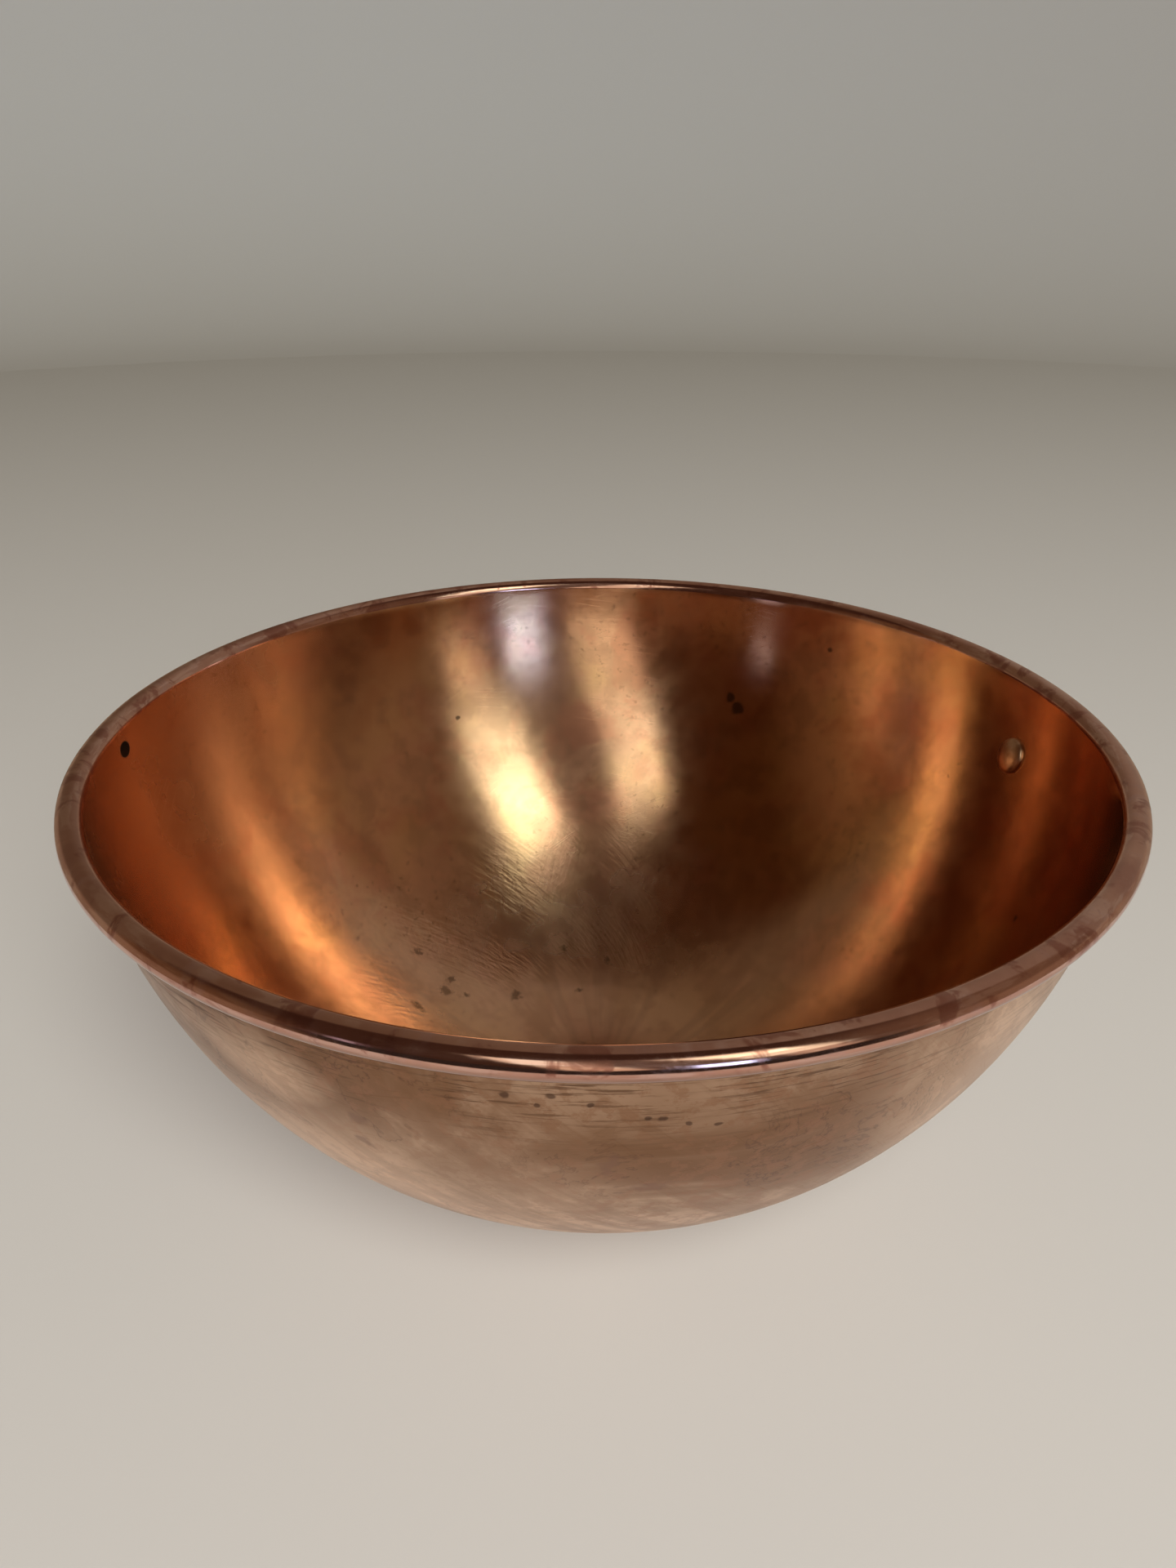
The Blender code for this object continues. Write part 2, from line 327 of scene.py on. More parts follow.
def strap_spot(offset, up):
    """Point that hugs the wall and its normal: offset outwards from the mid sheet, up the wall."""
    t_eye = RIM_T - EYE_DROP / wall_point(RIM_T)[3]
    speed = wall_point(t_eye)[3]
    point, normal, _, _ = wall_point(t_eye + up / speed)
    return point + normal * offset, normal


def strap_path():
    """Mid-strip path (offset, up): back leg, eye, return leg; it starts and ends at the tips."""
    back = SHEET_T / 2 + STRAP_WALL_GAP + STRAP_T / 2
    front = back + STRAP_T + STRAP_LEG_GAP
    eye = back + EYE_R
    tip = -STRAP_LEN
    tip_count, leg_count, eye_count, bend_count = 12, 8, 40, 10
    rises = [STRAP_HALF_W * (1 - math.cos(math.pi / 2 * k / tip_count)) for k in range(tip_count)]
    rises += [STRAP_HALF_W + (STRAP_LEG - STRAP_HALF_W) * k / leg_count for k in range(leg_count + 1)]
    path = [(back, tip + d) for d in rises]
    for k in range(eye_count + 1):
        a = math.pi + (STRAP_LEAVE - math.pi) * k / eye_count
        path.append((eye + EYE_R * math.cos(a), EYE_R * math.sin(a)))
    heading = Vector((math.sin(STRAP_LEAVE), -math.cos(STRAP_LEAVE)))
    start = Vector(path[-1])
    turn = math.acos(-heading.y)
    run = (start.x - front - STRAP_BEND_R * (1 - math.cos(turn))) / -heading.x
    bend_from = start + heading * run
    pivot = bend_from + Vector((-heading.y, heading.x)) * STRAP_BEND_R
    arm = bend_from - pivot
    for k in range(bend_count + 1):
        a = turn * k / bend_count
        path.append((pivot.x + arm.x * math.cos(a) - arm.y * math.sin(a),
                     pivot.y + arm.x * math.sin(a) + arm.y * math.cos(a)))
    low = path[-1][1]
    path += [(front, tip + d) for d in reversed(rises) if tip + d < low - STRAP_MIN_STEP]
    return path


def build_strap(mat):
    """Folded copper strip with softened edges, both legs flat on the wall."""
    path = strap_path()
    spots = [strap_spot(offset, up)[0] for offset, up in path]
    bm = bmesh.new()
    rows = []
    last = len(spots) - 1
    for i, p in enumerate(spots):
        direction = (spots[min(i + 1, last)] - spots[max(i - 1, 0)]).normalized()
        normal = Vector((direction.y, -direction.x))
        above_tip = path[i][1] + STRAP_LEN
        half = STRAP_HALF_W
        if above_tip < STRAP_HALF_W:
            round_off = STRAP_HALF_W ** 2 - (STRAP_HALF_W - above_tip) ** 2
            half = math.sqrt(max(round_off, STRAP_TIP_MIN ** 2))
        row = []
        for side_y, side_n in ((-1, -1), (1, -1), (1, 1), (-1, 1)):
            base = math.atan2(side_n, side_y)
            for k in range(4):
                a = base + (k / 3 - 0.5) * math.pi / 2
                y = side_y * (half - STRAP_CORNER) + STRAP_CORNER * math.cos(a)
                n = side_n * (STRAP_T / 2 - STRAP_CORNER) + STRAP_CORNER * math.sin(a)
                wear = waver(p.x + y, y * 2, p.y, STRAP_WEAR)
                q = p + normal * (n + wear)
                row.append(bm.verts.new((q.x, y, q.y)))
        rows.append(row)
    for here, there in zip(rows, rows[1:]):
        bridge(bm, here, there)
    bm.faces.new(rows[0])
    bm.faces.new(list(reversed(rows[-1])))
    return make_object("strap_strip", bm, [mat])


def rivet_frame():
    """Matrix whose +Z is the outward wall normal at the rivet, origin on the mid sheet."""
    point, normal = strap_spot(0.0, -RIVET_DROP)
    out = Vector((normal.x, 0.0, normal.y))
    side = Vector((0.0, 1.0, 0.0))
    turn = Matrix((side, out.cross(side), out)).transposed()
    return Matrix.Translation((point.x, 0.0, point.y)) @ turn.to_4x4()


def rivet_profile():
    """Outline (r, z) from the top of the domed head to the tail, and the height of the tail."""
    head_z = -SHEET_T / 2 - RIVET_LAP
    tail_z = SHEET_T / 2 + STRAP_WALL_GAP + 2 * STRAP_T + STRAP_LEG_GAP + RIVET_LAP
    dome_z = head_z - RIVET_HEAD_EDGE
    edge_z = head_z + RIVET_HEAD_EDGE
    profile = []
    for k in range(RIVET_STEPS + 1):
        a = math.pi / 2 * k / RIVET_STEPS
        profile.append((RIVET_HEAD_R * math.sin(a) ** DOME_OUT,
                        dome_z - RIVET_HEAD_H * math.cos(a) ** DOME_UP))
    profile += [(RIVET_HEAD_R - RIVET_HEAD_BEVEL, edge_z), (RIVET_SHANK_R, edge_z),
                (RIVET_SHANK_R, tail_z), (RIVET_TAIL_R - RIVET_TAIL_BEVEL, tail_z)]
    crown = RIVET_TAIL_H - RIVET_TAIL_EDGE
    for k in range(RIVET_STEPS):
        a = math.pi / 2 * k / RIVET_STEPS
        profile.append((RIVET_TAIL_R * math.cos(a), tail_z + RIVET_TAIL_EDGE + crown * math.sin(a)))
    profile.append((0.0, tail_z + RIVET_TAIL_H))
    return profile, tail_z


def build_rivet(mat):
    """Rivet with a domed head inside the bowl and a hammered tail on the strap."""
    profile, tail_z = rivet_profile()
    bm = bmesh.new()
    rows = []
    poles = {i: bm.verts.new((0, 0, z)) for i, (r, z) in enumerate(profile) if r < 1e-9}
    for k in range(RIVET_TURN):
        a = 2 * math.pi * k / RIVET_TURN
        row = []
        for i, (r, z) in enumerate(profile):
            if i in poles:
                row.append(poles[i])
                continue
            x, y = r * math.cos(a), r * math.sin(a)
            bump = waver(x, y, z, RIVET_TAIL_DENTS if z > tail_z else RIVET_HEAD_WEAR)
            grow = 1.0 + waver(math.cos(a), math.sin(a), 0.0, RIVET_UNROUND)
            row.append(bm.verts.new((x * grow, y * grow, z + bump)))
        rows.append(row)
    for k in range(RIVET_TURN):
        bridge(bm, rows[k], rows[(k + 1) % RIVET_TURN])
    rivet = make_object("rivet_body", bm, [mat])
    rivet.data.set_sharp_from_angle(angle=math.radians(50))
    rivet.matrix_world = rivet_frame()
    return rivet


def build_ring(hinge, mat):
    """Brass ring bent from round wire; the butt joint is a fine groove at its lowest point."""
    bm = bmesh.new()
    rows = []
    for k in range(RING_TURN):
        a = 2 * math.pi * k / RING_TURN
        from_joint = abs(math.atan2(math.sin(a - math.pi), math.cos(a - math.pi))) * RING_R
        groove = 1.0 - RING_GROOVE * math.exp(-(from_joint / RING_GROOVE_W) ** 2)
        wire = RING_WIRE_R * groove * RING_WIRE_SHARE
        row = []
        for s in range(RING_SIDES):
            b = 2 * math.pi * s / RING_SIDES
            reach = RING_R + wire * math.cos(b)
            x = wire * math.sin(b)
            y = reach * math.sin(a)
            z = reach * math.cos(a) - RING_R
            wear = waver(x * 2, y, z, RING_WEAR)
            row.append(bm.verts.new((x + wear * math.sin(b), y, z)))
        rows.append(row)
    for k in range(RING_TURN):
        bridge(bm, rows[k], rows[(k + 1) % RING_TURN])
    ring = make_object("ring_wire", bm, [mat])
    ring.location = hinge
    return ring


# =================================================================== materials
# cx, cy: unit direction from the axis; z: height; arc: length up the wall; turn: length round it
Polar = namedtuple("Polar", "cx cy z arc turn")
ARC_R = 0.130              # mean radius that turns the wall's angle into a length
TURN_R = 0.125             # mean radius that turns the azimuth into a length
SCALAR_RESULTS = ("LENGTH", "DISTANCE", "DOT_PRODUCT")


class Graph:
    """Short names for the nodes that the metals and the room light are made of."""

    def __init__(self, owner, coordinate="Object"):
        self.mat = owner
        owner.use_nodes = True
        self.nodes = owner.node_tree.nodes
        self.links = owner.node_tree.links
        self.shader = self.nodes.get("Principled BSDF")
        self.place = self.nodes.new("ShaderNodeTexCoord").outputs[coordinate]

    def put(self, socket, value):
        """Link a node's output to the socket, or set a number, vector or colour on it."""
        if isinstance(value, bpy.types.NodeSocket):
            self.links.new(value, socket)
        elif isinstance(value, (tuple, list)) and len(value) == 3 and socket.type == "RGBA":
            socket.default_value = (*value, 1.0)
        else:
            socket.default_value = value

    def math(self, operation, a, b=0.0):
        node = self.nodes.new("ShaderNodeMath")
        node.operation = operation
        self.put(node.inputs[0], a)
        self.put(node.inputs[1], b)
        return node.outputs[0]

    def times(self, a, b):
        return self.math("MULTIPLY", a, b)

    def plus(self, a, b):
        return self.math("ADD", a, b)

    def minus(self, a, b):
        return self.math("SUBTRACT", a, b)

    def vector(self, operation, a, b=(0.0, 0.0, 0.0), scale=1.0):
        node = self.nodes.new("ShaderNodeVectorMath")
        node.operation = operation
        self.put(node.inputs[0], a)
        if operation == "SCALE":
            self.put(node.inputs["Scale"], scale)
        else:
            self.put(node.inputs[1], b)
        return node.outputs["Value" if operation in SCALAR_RESULTS else "Vector"]

    def split(self, a):
        node = self.nodes.new("ShaderNodeSeparateXYZ")
        self.put(node.inputs[0], a)
        return node.outputs

    def join(self, x, y, z):
        node = self.nodes.new("ShaderNodeCombineXYZ")
        for socket, value in zip(node.inputs, (x, y, z)):
            self.put(socket, value)
        return node.outputs[0]

    def noise_node(self, place, scale, detail=2.0, rough=0.5, distort=0.0):
        node = self.nodes.new("ShaderNodeTexNoise")
        self.put(node.inputs["Vector"], place)
        node.inputs["Scale"].default_value = scale
        node.inputs["Detail"].default_value = detail
        node.inputs["Roughness"].default_value = rough
        node.inputs["Distortion"].default_value = distort
        return node

    def noise(self, place, scale, detail=2.0, rough=0.5, distort=0.0):
        return self.noise_node(place, scale, detail, rough, distort).outputs["Fac"]

    def step(self, value, low, high, to_low=0.0, to_high=1.0):
        """Smooth step of value from low to high, mapped to to_low..to_high."""
        node = self.nodes.new("ShaderNodeMapRange")
        node.interpolation_type = "SMOOTHSTEP"
        self.put(node.inputs["Value"], value)
        ends = {"From Min": low, "From Max": high, "To Min": to_low, "To Max": to_high}
        for name, number in ends.items():
            node.inputs[name].default_value = number
        return node.outputs[0]

    def mix(self, factor, a, b):
        """Colour a where the factor is 0, b where it is 1."""
        node = self.nodes.new("ShaderNodeMix")
        node.data_type = "RGBA"
        self.put(node.inputs["Factor"], factor)
        self.put(node.inputs[6], a)
        self.put(node.inputs[7], b)
        return node.outputs[2]

    def tint(self, colour, mask, strength, tone):
        """Colour with a tone laid over it where the mask is, at the given strength."""
        return self.mix(self.times(mask, strength), colour, tone)

    def bump(self, height, distance, strength, under=None):
        node = self.nodes.new("ShaderNodeBump")
        node.inputs["Strength"].default_value = strength
        node.inputs["Distance"].default_value = distance
        self.put(node.inputs["Height"], height)
        if under is not None:
            self.put(node.inputs["Normal"], under)
        return node.outputs[0]

    def around(self):
        """Where a point of the wall lies round the axis and up the wall, as a Polar."""
        x, y, z = self.split(self.place)
        r = self.math("SQRT", self.plus(self.times(x, x), self.times(y, y)))
        r = self.math("MAXIMUM", r, 1e-5)
        tilt = self.math("ARCTAN2", r, self.minus(WALL_ZC, z))
        turn = self.math("ARCTAN2", y, x)
        return Polar(self.math("DIVIDE", x, r), self.math("DIVIDE", y, r), z,
                     self.times(tilt, ARC_R), self.times(turn, TURN_R))

    def turned(self, polar, slow, fine):
        """Coordinates stretched round the axis, for marks left by turning."""
        return self.join(self.times(polar.cx, slow), self.times(polar.cy, slow),
                         self.times(polar.arc, fine))

    def slanted(self, polar, angle, length, width, layer):
        """Coordinates along and across marks that lie at an angle to the turning direction."""
        c, s = math.cos(math.radians(angle)), math.sin(math.radians(angle))
        along = self.plus(self.times(polar.turn, c / length), self.times(polar.arc, s / length))
        across = self.minus(self.times(polar.arc, c / width), self.times(polar.turn, s / width))
        return self.join(along, across, layer)

    def scratches(self, polar, angle, length, width, share):
        """Mask of thin straight scratches at an angle to the turning direction."""
        place = self.slanted(polar, angle, length, width, angle * 0.37)
        return self.step(self.noise(place, 1.0, 1.0, 0.4), share, share + 0.06)

    def strokes(self, polar, angle, length, width):
        """Soft brushed strokes, about -0.5 to 0.5, at an angle to the turning direction."""
        place = self.slanted(polar, angle, length, width, angle)
        return self.minus(self.noise(place, 1.0, 1.0), 0.5)

    def warped(self, scale, reach):
        """Place shifted by smooth noise, so that an outline drawn there is irregular."""
        shift = self.noise_node(self.place, scale).outputs["Color"]
        shift = self.vector("SUBTRACT", shift, (0.5, 0.5, 0.5))
        return self.vector("ADD", self.place, self.vector("SCALE", shift, scale=reach))

    def spots(self, place, ovals, soft=0.3):
        """Mask of small marks on the wall: (azimuth in degrees, height, half width, half height)."""
        mask = 0.0
        for azimuth, height, wide, tall in ovals:
            a = math.radians(azimuth)
            out = Vector((math.cos(a), math.sin(a), 0.0))
            level = Vector((-out.y, out.x, 0.0))
            climb = wall_climb(height)
            up = out * climb.x + Vector((0.0, 0.0, climb.y))
            middle = out * wall_radius(height) + Vector((0.0, 0.0, height))
            away = self.vector("SUBTRACT", place, tuple(middle))
            across = self.vector("DOT_PRODUCT", away, tuple(level / wide))
            along = self.vector("DOT_PRODUCT", away, tuple(up / tall))
            deep = self.vector("DOT_PRODUCT", away, tuple(out / MARK_DEPTH))
            far = self.vector("LENGTH", self.join(across, along, deep))
            mask = self.math("MAXIMUM", mask, self.step(far, 1.0 - soft, 1.0 + soft, 1.0, 0.0))
        return mask


def metal(name):
    """Graph of a new fully metallic material."""
    graph = Graph(bpy.data.materials.new(name))
    graph.shader.inputs["Metallic"].default_value = 1.0
    return graph


def turned_metal(graph, anisotropy):
    """Highlights drawn out across the turning marks."""
    tangent = graph.nodes.new("ShaderNodeTangent")
    tangent.direction_type = "RADIAL"
    tangent.axis = "Z"
    graph.links.new(tangent.outputs[0], graph.shader.inputs["Tangent"])
    graph.shader.inputs["Anisotropic"].default_value = anisotropy
    graph.shader.inputs["Anisotropic Rotation"].default_value = 0.25


def inside_copper():
    """Polished inside: fine turning marks, wiped film, a scrubbed base and a few dark stains."""
    g = metal("copper_inside")
    polar = g.around()
    z = polar.z
    rings = g.noise(g.turned(polar, 2.2, 700.0), 1.0, 1.0)
    film = g.step(g.noise(g.place, 20.0, 4.0, 0.58, 0.3), 0.43, 0.63)
    blush = g.step(g.noise(g.place, 48.0, 4.0, 0.6, 0.4), 0.46, 0.62)
    golden = g.step(g.noise(g.vector("ADD", g.place, (0.3, 0.1, 0.2)), 27.0, 3.0, 0.55), 0.45, 0.62)
    cloudy = g.step(g.noise(g.place, 85.0, 4.0, 0.6, 0.2), 0.46, 0.62)
    mottle = g.noise(g.place, 130.0, 1.0)
    low = g.step(z, 0.012, 0.050, 1.0, 0.0)
    wiped = g.noise(g.turned(polar, 7.0, 11.0), 1.0, 3.0, 0.6)
    streaks = g.times(g.step(wiped, 0.46, 0.66), low)
    # the side away from the ring is darker and rougher high up
    away = g.step(g.vector("DOT_PRODUCT", g.place, (-1.0, 0.0, 0.0)), 0.040, 0.105)
    dulled = g.times(away, g.step(z, 0.050, 0.085))
    # crossing brushed strokes round the base, strongest on the side of +Y
    scrubbed = g.times(g.step(z, 0.005, 0.014), g.step(z, 0.022, 0.046, 1.0, 0.0))
    scrubbed = g.times(scrubbed, g.step(g.noise(g.place, 26.0, 1.0), 0.30, 0.70))
    scrubbed = g.times(scrubbed, g.step(polar.cy, 0.30, 0.85, 0.10, 1.0))
    rising = g.strokes(polar, 34.0, 0.0080, 0.0019)
    falling = g.strokes(polar, -58.0, 0.0070, 0.0019)
    strokes = g.times(g.plus(rising, g.times(falling, 0.35)), scrubbed)
    marks = g.math("MAXIMUM", g.scratches(polar, 8.0, 0.020, 0.0006, 0.66),
                   g.scratches(polar, -22.0, 0.016, 0.0006, 0.66))
    freckled = g.noise(g.vector("ADD", g.place, (0.7, 0.2, 0.5)), 24.0, 3.0)
    freckles = g.times(g.step(g.noise(g.place, 520.0, 2.0, 0.6), 0.61, 0.70), g.step(freckled, 0.46, 0.60))
    specks = g.times(g.spots(g.warped(700.0, 0.0034), BASE_SPECKS, 0.6), 0.75)
    stains = g.math("MAXIMUM", g.spots(g.warped(420.0, 0.0018), INSIDE_STAINS), specks)
    # a small, very dark, rougher oval near the rim
    dark_oval = g.spots(g.place, [DARK_OVAL_MARK], 0.12)

    colour = g.tint(INSIDE_CLEAN, film, 0.50, (0.64, 0.37, 0.22))
    colour = g.tint(colour, blush, 0.50, (0.74, 0.30, 0.18))
    colour = g.tint(colour, golden, 0.40, (0.92, 0.60, 0.28))
    colour = g.tint(colour, dulled, 0.9, (0.52, 0.27, 0.16))
    colour = g.tint(colour, low, 0.55, (0.80, 0.50, 0.36))
    colour = g.tint(colour, streaks, 0.35, (0.52, 0.31, 0.21))
    colour = g.tint(colour, marks, 0.10, (0.98, 0.66, 0.46))
    colour = g.tint(colour, cloudy, 0.45, (0.60, 0.33, 0.20))
    colour = g.tint(colour, freckles, 0.40, (0.34, 0.17, 0.09))
    colour = g.tint(colour, stains, 0.80, (0.10, 0.06, 0.035))
    colour = g.mix(dark_oval, colour, (0.012, 0.009, 0.008))
    g.put(g.shader.inputs["Base Color"], colour)

    rough = g.plus(INSIDE_ROUGH, g.step(mottle, 0.25, 0.75, -0.01, 0.03))
    for mask, more in ((low, 0.05), (film, 0.04), (scrubbed, 0.05), (dulled, 0.08), (stains, 0.04),
                       (dark_oval, 0.30)):
        rough = g.plus(rough, g.times(mask, more))
    g.put(g.shader.inputs["Roughness"], rough)
    height = g.plus(g.times(rings, 0.5), g.times(marks, -0.3))
    height = g.plus(height, g.times(strokes, 14.0))
    normal = g.bump(height, 0.00002, 0.5)
    g.put(g.shader.inputs["Normal"], g.bump(mottle, 0.00002, 0.5, normal))
    turned_metal(g, 0.5)
    return g.mat


def outside_copper():
    """Satin outside: cloudy tarnish, dark scuffs under the rim, tide marks and small stains."""
    g = metal("copper_outside")
    polar = g.around()
    cx, cy, z, arc, _ = polar
    rings = g.noise(g.turned(polar, 3.0, 1300.0), 1.0, 3.0, 0.6)
    cloud = g.noise(g.place, 17.0, 5.0, 0.64, 0.7)
    patch = g.noise(g.place, 42.0, 5.0, 0.68, 0.5)
    mottle = g.noise(g.place, 260.0, 4.0, 0.65)
    # runs lean over as they climb the wall
    lean = g.times(arc, 7.0)
    cos_lean, sin_lean = g.math("COSINE", lean), g.math("SINE", lean)
    leaned = g.minus(g.times(cx, cos_lean), g.times(cy, sin_lean))
    swung = g.plus(g.times(cy, cos_lean), g.times(cx, sin_lean))
    runs = g.noise(g.join(g.times(leaned, 8.0), g.times(swung, 8.0), g.times(arc, 7.0)), 1.0, 6.0, 0.66)
    under_rim = g.step(z, 0.084, 0.108)
    worn_here = g.step(g.noise(g.turned(polar, 3.4, 30.0), 1.0, 3.0, 0.6), 0.38, 0.56)
    scuffs = g.step(g.noise(g.turned(polar, 9.0, 1150.0), 1.0, 4.0, 0.66), 0.51, 0.61)
    scuffs = g.times(scuffs, g.times(under_rim, worn_here))
    # outlines of the patches, as dried water leaves
    tide = g.math("ABSOLUTE", g.minus(patch, 0.56))
    tide = g.times(g.step(tide, 0.0, 0.014, 1.0, 0.0), g.step(cloud, 0.42, 0.60))
    marks = g.math("MAXIMUM", g.scratches(polar, 12.0, 0.014, 0.0004, 0.66),
                   g.scratches(polar, -50.0, 0.010, 0.0004, 0.68))
    # partly cleaner copper, partly painted highlight where the outside mirrors the lit floor
    bare_and_highlit = g.spots(g.place, CLEAN_AND_HIGHLIT_OUTSIDE, 0.9)
    # darker spots on the outside
    dim = g.spots(g.warped(60.0, 0.012), DARKER_OUTSIDE, 0.8)
    # a thin paler band on the wall just under the bead
    pale_band_under_bead = g.times(g.step(z, 0.1100, 0.1108), g.step(z, 0.1126, 0.1134, 1.0, 0.0))
    stains = g.spots(g.warped(420.0, 0.0014), OUTSIDE_STAINS)
    tides = g.spots(g.warped(300.0, 0.0060), TIDE_MARKS, 0.5)
    film = g.times(g.step(cloud, 0.36, 0.60, 0.40, 1.0), g.step(z, 0.020, 0.090, 0.40, 0.95))
    film = g.times(film, g.minus(1.0, g.times(bare_and_highlit, 0.75)))

    colour = g.mix(film, OUTSIDE_CLEAN, (0.235, 0.104, 0.042))
    colour = g.mix(g.step(patch, 0.46, 0.64, 0.0, 0.60), colour, (0.29, 0.145, 0.072))
    colour = g.mix(g.step(runs, 0.47, 0.59, 0.0, 0.55), colour, (0.33, 0.17, 0.092))
    colour = g.tint(colour, tide, 0.75, (0.18, 0.085, 0.05))
    colour = g.mix(g.step(mottle, 0.50, 0.60, 0.0, 0.50), colour, (0.40, 0.19, 0.105))
    colour = g.tint(colour, scuffs, 0.80, (0.15, 0.075, 0.045))
    colour = g.tint(colour, bare_and_highlit, 0.50, OUTSIDE_CLEAN)
    colour = g.tint(colour, dim, 0.50, (0.26, 0.125, 0.055))
    colour = g.tint(colour, pale_band_under_bead, 0.7, (0.88, 0.62, 0.50))
    colour = g.tint(colour, tides, 0.55, (0.26, 0.13, 0.085))
    colour = g.tint(colour, stains, 0.75, (0.13, 0.065, 0.04))
    g.put(g.shader.inputs["Base Color"], colour)

    rough = g.plus(OUTSIDE_ROUGH, g.times(g.minus(cloud, 0.5), 0.18))
    for mask, more in ((scuffs, 0.12), (stains, 0.15), (marks, 0.08)):
        rough = g.plus(rough, g.times(mask, more))
    g.put(g.shader.inputs["Roughness"], rough)
    height = g.plus(g.times(rings, 0.5), g.times(marks, -0.8))
    normal = g.bump(height, 0.00002, 0.5)
    g.put(g.shader.inputs["Normal"], g.bump(mottle, 0.00003, 0.4, normal))
    turned_metal(g, 0.4)
    return g.mat


def bead_copper():
    """Darker, glossier copper of the rolled rim, with dull, grazed and reddish patches."""
    g = metal("copper_bead")
    polar = g.around()
    rings = g.noise(g.turned(polar, 4.0, 1600.0), 1.0, 3.0, 0.6)
    cloud = g.noise(g.place, 34.0, 4.0, 0.6, 0.5)
    dull = g.step(g.noise(g.turned(polar, 14.0, 160.0), 1.0, 5.0, 0.68, 0.6), 0.52, 0.70)
    ruddy = g.step(g.noise(g.place, 120.0, 4.0, 0.62, 0.5), 0.53, 0.63)
    grazes = g.step(g.noise(g.turned(polar, 10.0, 900.0), 1.0, 3.0, 0.6), 0.50, 0.62)
    # painted shade: the lower half of the bead, which mirrors the floor and the dark room in front, is
    # painted darker
    under = g.step(polar.z, 0.1140, 0.1156, 1.0, 0.0)

    colour = g.mix(g.step(cloud, 0.38, 0.66), BEAD_CLEAN, (0.53, 0.265, 0.20))
    colour = g.tint(colour, dull, 0.6, (0.64, 0.39, 0.36))
    colour = g.tint(colour, grazes, 0.45, (0.84, 0.56, 0.47))
    colour = g.tint(colour, ruddy, 0.7, (0.36, 0.13, 0.09))
    # painted shade on the bead's underside
    colour = g.tint(colour, under, 0.80, (0.34, 0.20, 0.145))
    g.put(g.shader.inputs["Base Color"], colour)

    rough = g.step(cloud, 0.3, 0.8, BEAD_ROUGH, BEAD_ROUGH + 0.05)
    rough = g.plus(rough, g.times(g.math("MAXIMUM", dull, ruddy), 0.12))
    g.put(g.shader.inputs["Roughness"], rough)
    dents = g.bump(g.noise(g.place, 150.0), 0.00007, 0.5)
    g.put(g.shader.inputs["Normal"], g.bump(rings, 0.00001, 0.5, dents))
    g.shader.inputs["Metallic"].default_value = 0.985
    turned_metal(g, 0.2)
    return g.mat


def worn_metal(name, light, dark, roughness):
    """Small solid fittings: two tones, soft unevenness and fine wear."""
    g = metal(name)
    cloud = g.noise(g.place, 400.0, 4.0, 0.6)
    fine = g.noise(g.place, 1200.0)
    g.put(g.shader.inputs["Base Color"], g.mix(g.step(cloud, 0.30, 0.75), light, dark))
    g.put(g.shader.inputs["Roughness"], g.step(cloud, 0.3, 0.8, roughness - 0.06, roughness + 0.12))
    g.put(g.shader.inputs["Normal"], g.bump(fine, 0.00002, 0.35))
    return g.mat


# =================================================================== stage, light, camera
def stage_row(bm, radius, z):
    """Vertices of a circle round the axis."""
    angles = [2 * math.pi * k / STAGE_TURN for k in range(STAGE_TURN)]
    return [bm.verts.new((radius * math.cos(a), radius * math.sin(a), z)) for a in angles]


def stage_surface(name, rise, mat):
    """Surface of revolution through the circles (radius, z)."""
    bm = bmesh.new()
    rows = [stage_row(bm, radius, z) for radius, z in rise]
    for here, there in zip(rows, rows[1:]):
        bridge(bm, here, there)
    return make_object(name, bm, [mat])


def add_stage():
    """Plain pale floor that runs up into a plain pale cove.

    The copper mirrors only the near floor; only the camera sees the cove.
    """
    mat = bpy.data.materials.new("floor_pale")
    mat.use_nodes = True
    shader = mat.node_tree.nodes["Principled BSDF"]
    shader.inputs["Base Color"].default_value = (*FLOOR_COLOUR, 1.0)
    shader.inputs["Roughness"].default_value = 0.9
    disc = bmesh.new()
    bmesh.ops.create_circle(disc, cap_ends=True, radius=NEAR_FLOOR_R, segments=STAGE_TURN)
    near = make_object("floor_near", disc, [mat])
    floor = stage_surface("floor", [(NEAR_FLOOR_R, 0.0), (FLOOR_R, 0.0)], mat)
    floor.visible_glossy = False
    angles = [math.pi / 2 * k / COVE_STEPS for k in range(COVE_STEPS + 1)]
    rise = [(FLOOR_R + COVE_R * math.sin(a), COVE_R * (1 - math.cos(a))) for a in angles]
    rise.append((FLOOR_R + COVE_R, COVE_TOP))
    cove = stage_surface("cove", rise, mat)
    cove.visible_diffuse = False
    cove.visible_glossy = False
    cove.visible_shadow = False
    for obj in (near, floor, cove):
        obj.location = (0, 0, -FLOOR_DROP)


def toward(azimuth, elevation, distance=1.0):
    """Point seen from the bowl; azimuth 0 is to the viewer's right, 90 away from the viewer."""
    a = math.radians(azimuth) + VIEW_TURN
    e = math.radians(elevation)
    return Vector((math.cos(a) * math.cos(e), math.sin(a) * math.cos(e), math.sin(e))) * distance


def soft_box(g, sky, azimuth, elevation, wide, tall, colour, lean, soft):
    """Light around the bowl with one more soft-edged rectangle in it; all sizes in degrees."""
    out = toward(azimuth, elevation)
    level = Vector((-out.y, out.x, 0.0)).normalized()
    climb = out.cross(level)
    tip = math.radians(lean)
    across = level * math.cos(tip) + climb * math.sin(tip)
    along = climb * math.cos(tip) - level * math.sin(tip)
    ahead = g.vector("DOT_PRODUCT", g.place, tuple(out))
    mask = g.step(ahead, 0.0, 0.05)
    for axis, size in ((across, wide), (along, tall)):
        side = g.vector("DOT_PRODUCT", g.place, tuple(axis))
        angle = g.math("ABSOLUTE", g.math("ARCTAN2", side, ahead))
        edge, blur = math.radians(size / 2), math.radians(soft / 2)
        mask = g.times(mask, g.step(angle, edge - blur, edge + blur, 1.0, 0.0))
    return g.mix(mask, sky, colour)


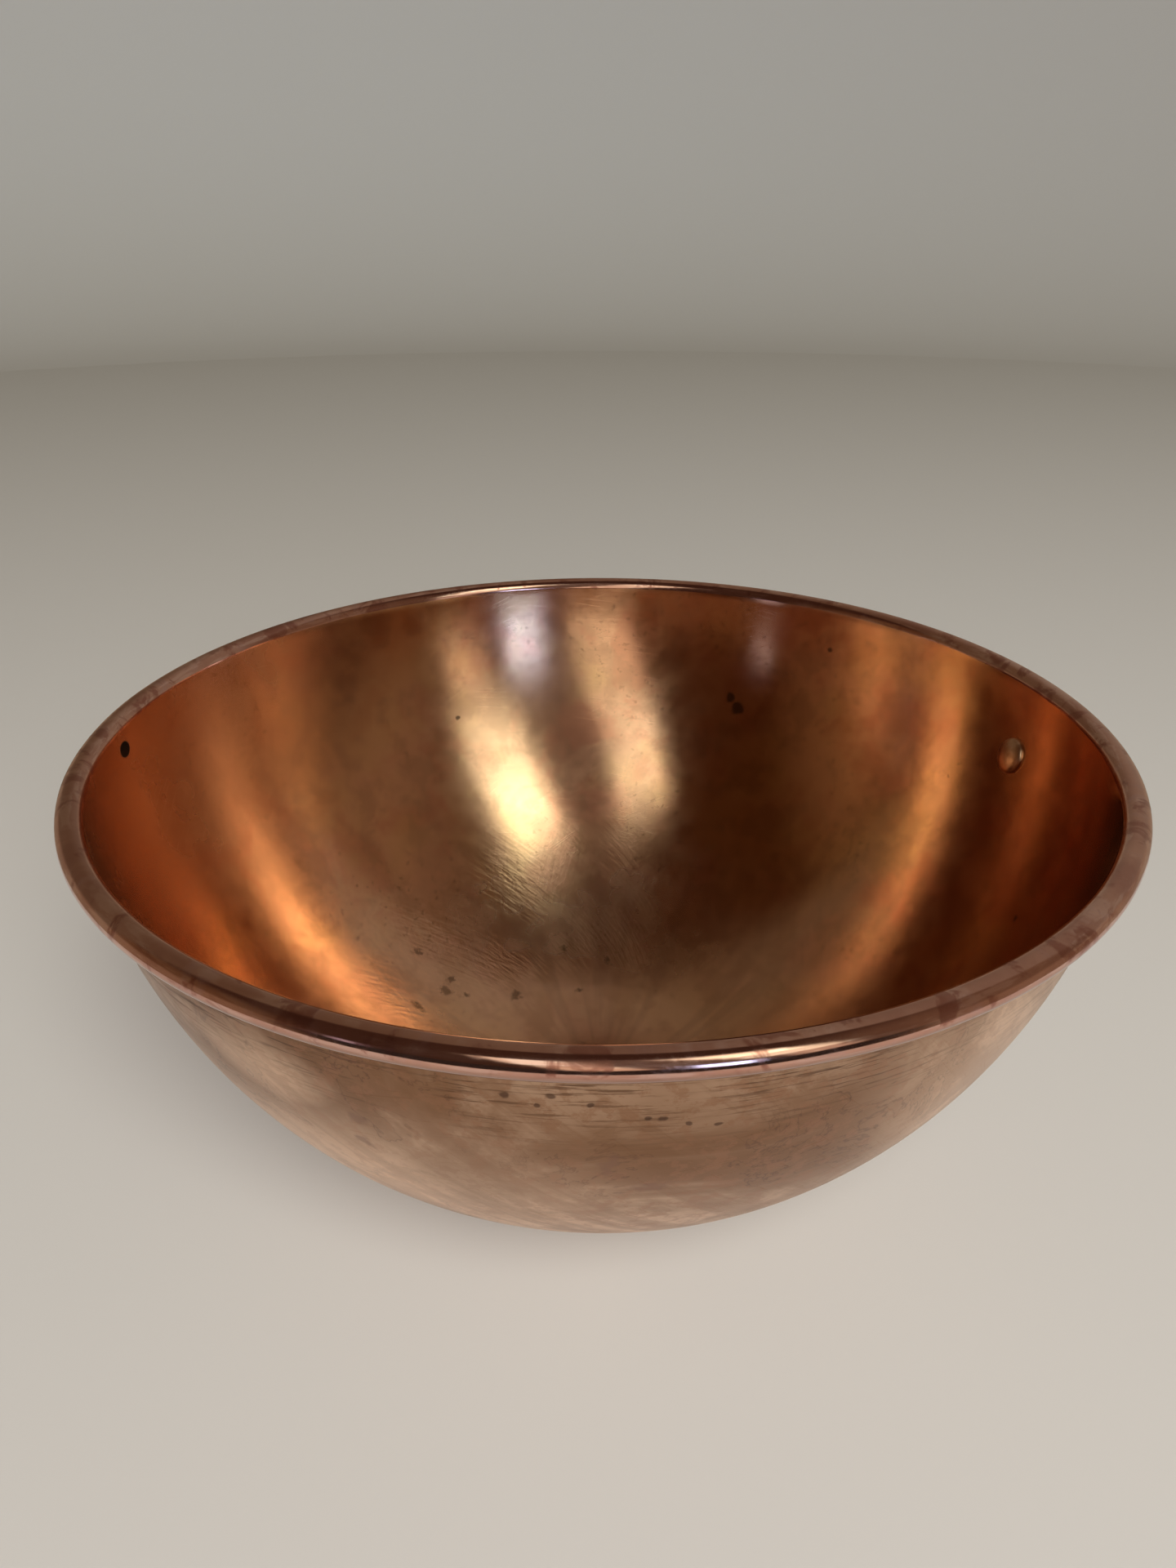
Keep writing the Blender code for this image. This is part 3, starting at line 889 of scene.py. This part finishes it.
def add_room():
    """World light: a dim warm room in front, a pale wall behind, a dark low front and soft boxes."""
    world = bpy.data.worlds.new("studio")
    bpy.context.scene.world = world
    g = Graph(world, "Generated")
    up = g.split(g.place)[2]
    behind = g.vector("DOT_PRODUCT", g.place, tuple(toward(90, 0)))
    right = g.vector("DOT_PRODUCT", g.place, tuple(toward(0, 15)))
    left = g.vector("DOT_PRODUCT", g.place, tuple(toward(180, 0)))
    room = g.mix(g.step(right, 0.55, 0.95), (0.040, 0.015, 0.005), (0.17, 0.115, 0.075))
    room = g.mix(g.step(left, 0.72, 0.97), room, (0.13, 0.075, 0.035))
    wall = g.mix(g.step(left, -0.5, 0.5), (0.26, 0.225, 0.18), (0.13, 0.095, 0.06))
    sky = g.mix(g.step(behind, 0.08, 0.22), room, wall)
    low = g.times(g.step(up, -0.02, 0.20, 1.0, 0.0), g.step(behind, -0.75, -0.30, 0.0, 0.6))
    sky = g.mix(low, sky, (0.34, 0.26, 0.18))
    front = g.times(g.step(up, -0.05, 0.02, 1.0, 0.0), g.step(behind, -0.7, -0.4, 1.0, 0.0))
    sky = g.mix(front, sky, (0.016, 0.010, 0.008))
    for box in SOFT_BOXES:
        sky = soft_box(g, sky, *box)
    g.put(g.nodes["Background"].inputs["Color"], sky)


def add_floor_light():
    """Round light over the floor that the copper doesn't mirror."""
    data = bpy.data.lights.new("floor_light", "AREA")
    data.shape = "DISK"
    data.size = FLOOR_LIGHT_WIDE
    data.energy = FLOOR_LIGHT_POWER
    data.color = (1.0, 0.97, 0.94)
    lamp = bpy.data.objects.new("floor_light", data)
    bpy.context.scene.collection.objects.link(lamp)
    lamp.location = toward(*FLOOR_LIGHT_FROM, FLOOR_LIGHT_AWAY)
    lamp.rotation_euler = toward(*FLOOR_LIGHT_FROM).to_track_quat("Z", "Y").to_euler()
    lamp.visible_camera = False
    lamp.visible_glossy = False


def add_camera():
    """The photo's viewpoint: a wide lens about 27 degrees above the rim."""
    data = bpy.data.cameras.new("camera")
    data.sensor_width = 36.0
    data.lens = CAMERA_LENS
    data.clip_start = 0.01
    cam = bpy.data.objects.new("camera", data)
    bpy.context.scene.collection.objects.link(cam)
    base = Matrix(((1, 0, 0), (0, 0, -1), (0, 1, 0)))
    tip = Matrix.Rotation(CAMERA_ELEVATION, 3, "X")
    spin = Matrix.Rotation(CAMERA_ROLL, 3, "Z")
    look = spin @ tip @ base             # rows: right, down, forward, from a rim-centred frame
    eye = -(look.transposed() @ (Vector(RIM_FROM_EYE) * RIM_R))
    turn = Matrix.Rotation(VIEW_TURN, 3, "Z")
    right, down, forward = (turn @ row for row in look)
    facing = Matrix((right, -down, -forward)).transposed().to_4x4()
    cam.matrix_world = Matrix.Translation(turn @ eye + Vector((0, 0, RIM_TOP))) @ facing
    bpy.context.scene.camera = cam


# =================================================================== assembly
def main():
    bowl = build_bowl([inside_copper(), outside_copper(), bead_copper()])
    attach(bowl, "bowl")
    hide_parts("bowl_shell")

    strap = build_strap(worn_metal("copper_strap_worn", (0.80, 0.45, 0.31), (0.62, 0.33, 0.22), 0.34))
    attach(strap, "bowl")
    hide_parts("ring_strap")

    rivet = build_rivet(worn_metal("copper_rivet_worn", (0.80, 0.50, 0.33), (0.64, 0.35, 0.21), 0.34))
    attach(rivet, "bowl")
    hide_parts("strap_rivet")

    hinge = frame["joints"][0]["pos_m"]
    ring = build_ring(hinge, worn_metal("brass_worn", (0.84, 0.66, 0.34), (0.66, 0.48, 0.22), 0.28))
    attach(ring, "ring")
    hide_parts("hanging_ring")

    iron = worn_metal("iron_worn", (0.36, 0.34, 0.33), (0.22, 0.18, 0.16), 0.5)
    frame["nodes"]["rim_wire"].material_slots[0].material = iron

    add_stage()
    add_room()
    add_floor_light()
    add_camera()
    bpy.context.scene.view_settings.view_transform = "Standard"


main()
